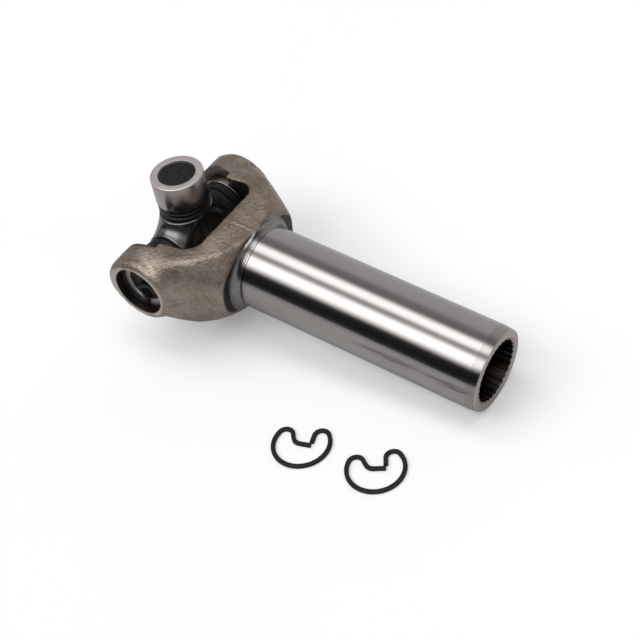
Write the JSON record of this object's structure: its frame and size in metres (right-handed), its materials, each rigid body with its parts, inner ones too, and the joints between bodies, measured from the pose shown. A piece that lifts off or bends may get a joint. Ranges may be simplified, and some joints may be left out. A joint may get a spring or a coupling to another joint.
{
  "type": "universal joint slip yoke",
  "caption": "Forged slip yoke with a splined, ground barrel and a needle-bearing universal joint cross held in its ears, with loose snap rings for the mating yoke.",
  "frame": {"origin": "centre of the joint, where the axes of the cross's two pairs of trunnions meet", "axes": "+Z along the axis of the two free caps, away from the surface it lies on; +Y along the axis of the caps in the ears; the barrel runs towards +X and dips 6.55 degrees"},
  "size_m": [0.1955, 0.1268, 0.0818],
  "materials": {
    "forged_steel": "as forged, shot blasted, with ground and turned surfaces on the barrel and ear faces",
    "plug_steel": "pressed sheet",
    "cross_steel": "dark oiled forging",
    "cap_steel": "ground",
    "needle_steel": "polished",
    "washer_plastic": "moulded",
    "seal_rubber": "moulded",
    "guard_rubber": "moulded",
    "ring_steel": "black phosphate"
  },
  "bodies": {
    "yoke": {"slip_yoke": "forged_steel", "vent_plug": "plug_steel", "near_ear_cap": "cap_steel", "near_ear_washer": "washer_plastic", "near_ear_seal": "seal_rubber", "near_ear_ring": "ring_steel", "far_ear_cap": "cap_steel", "far_ear_washer": "washer_plastic", "far_ear_seal": "seal_rubber", "far_ear_ring": "ring_steel"},
    "cross": {"cross": "cross_steel", "near_ear_guard": "guard_rubber", "far_ear_guard": "guard_rubber", "top_guard": "guard_rubber", "bottom_guard": "guard_rubber"},
    "top_bearing": {"top_cap": "cap_steel", "top_washer": "washer_plastic", "top_seal": "seal_rubber"},
    "bottom_bearing": {"bottom_cap": "cap_steel", "bottom_washer": "washer_plastic", "bottom_seal": "seal_rubber"},
    "near_ear_rollers": {"near_ear_needles": "needle_steel"},
    "far_ear_rollers": {"far_ear_needles": "needle_steel"},
    "top_rollers": {"top_needles": "needle_steel"},
    "bottom_rollers": {"bottom_needles": "needle_steel"},
    "ring_a": {"loose_ring_a": "ring_steel"},
    "ring_b": {"loose_ring_b": "ring_steel"}
  },
  "joints": [
    {"name": "cross_swing", "type": "hinge", "parent": "yoke", "child": "cross", "pos_m": [0, 0, 0], "axis": [0, 1, 0], "range_deg": [-10, 23]},
    {"name": "near_ear_needle_roll", "type": "hinge", "parent": "yoke", "child": "near_ear_rollers", "pos_m": [0, 0, 0], "axis": [0, 1, 0], "range_deg": [-4.6, 10.4]},
    {"name": "far_ear_needle_roll", "type": "hinge", "parent": "yoke", "child": "far_ear_rollers", "pos_m": [0, 0, 0], "axis": [0, 1, 0], "range_deg": [-4.6, 10.4]},
    {"name": "top_cap_spin", "type": "hinge", "parent": "cross", "child": "top_bearing", "pos_m": [0, 0, 0], "axis": [0, 0, 1], "continuous": true},
    {"name": "bottom_cap_spin", "type": "hinge", "parent": "cross", "child": "bottom_bearing", "pos_m": [0, 0, 0], "axis": [0, 0, 1], "continuous": true},
    {"name": "top_needle_roll", "type": "hinge", "parent": "cross", "child": "top_rollers", "pos_m": [0, 0, 0], "axis": [0, 0, 1], "continuous": true},
    {"name": "bottom_needle_roll", "type": "hinge", "parent": "cross", "child": "bottom_rollers", "pos_m": [0, 0, 0], "axis": [0, 0, 1], "continuous": true},
    {"name": "ring_a_lift", "type": "slide", "parent": "yoke", "child": "ring_a", "axis": [0, 0, 1], "range_m": [0, 0.06]},
    {"name": "ring_b_lift", "type": "slide", "parent": "yoke", "child": "ring_b", "axis": [0, 0, 1], "range_m": [0, 0.06]}
  ],
  "couplings": [
    {"joint": "near_ear_needle_roll", "follows": "cross_swing", "ratio": 0.4457},
    {"joint": "far_ear_needle_roll", "follows": "cross_swing", "ratio": 0.4457},
    {"joint": "top_needle_roll", "follows": "top_cap_spin", "ratio": 0.5543},
    {"joint": "bottom_needle_roll", "follows": "bottom_cap_spin", "ratio": 0.5543}
  ]
}
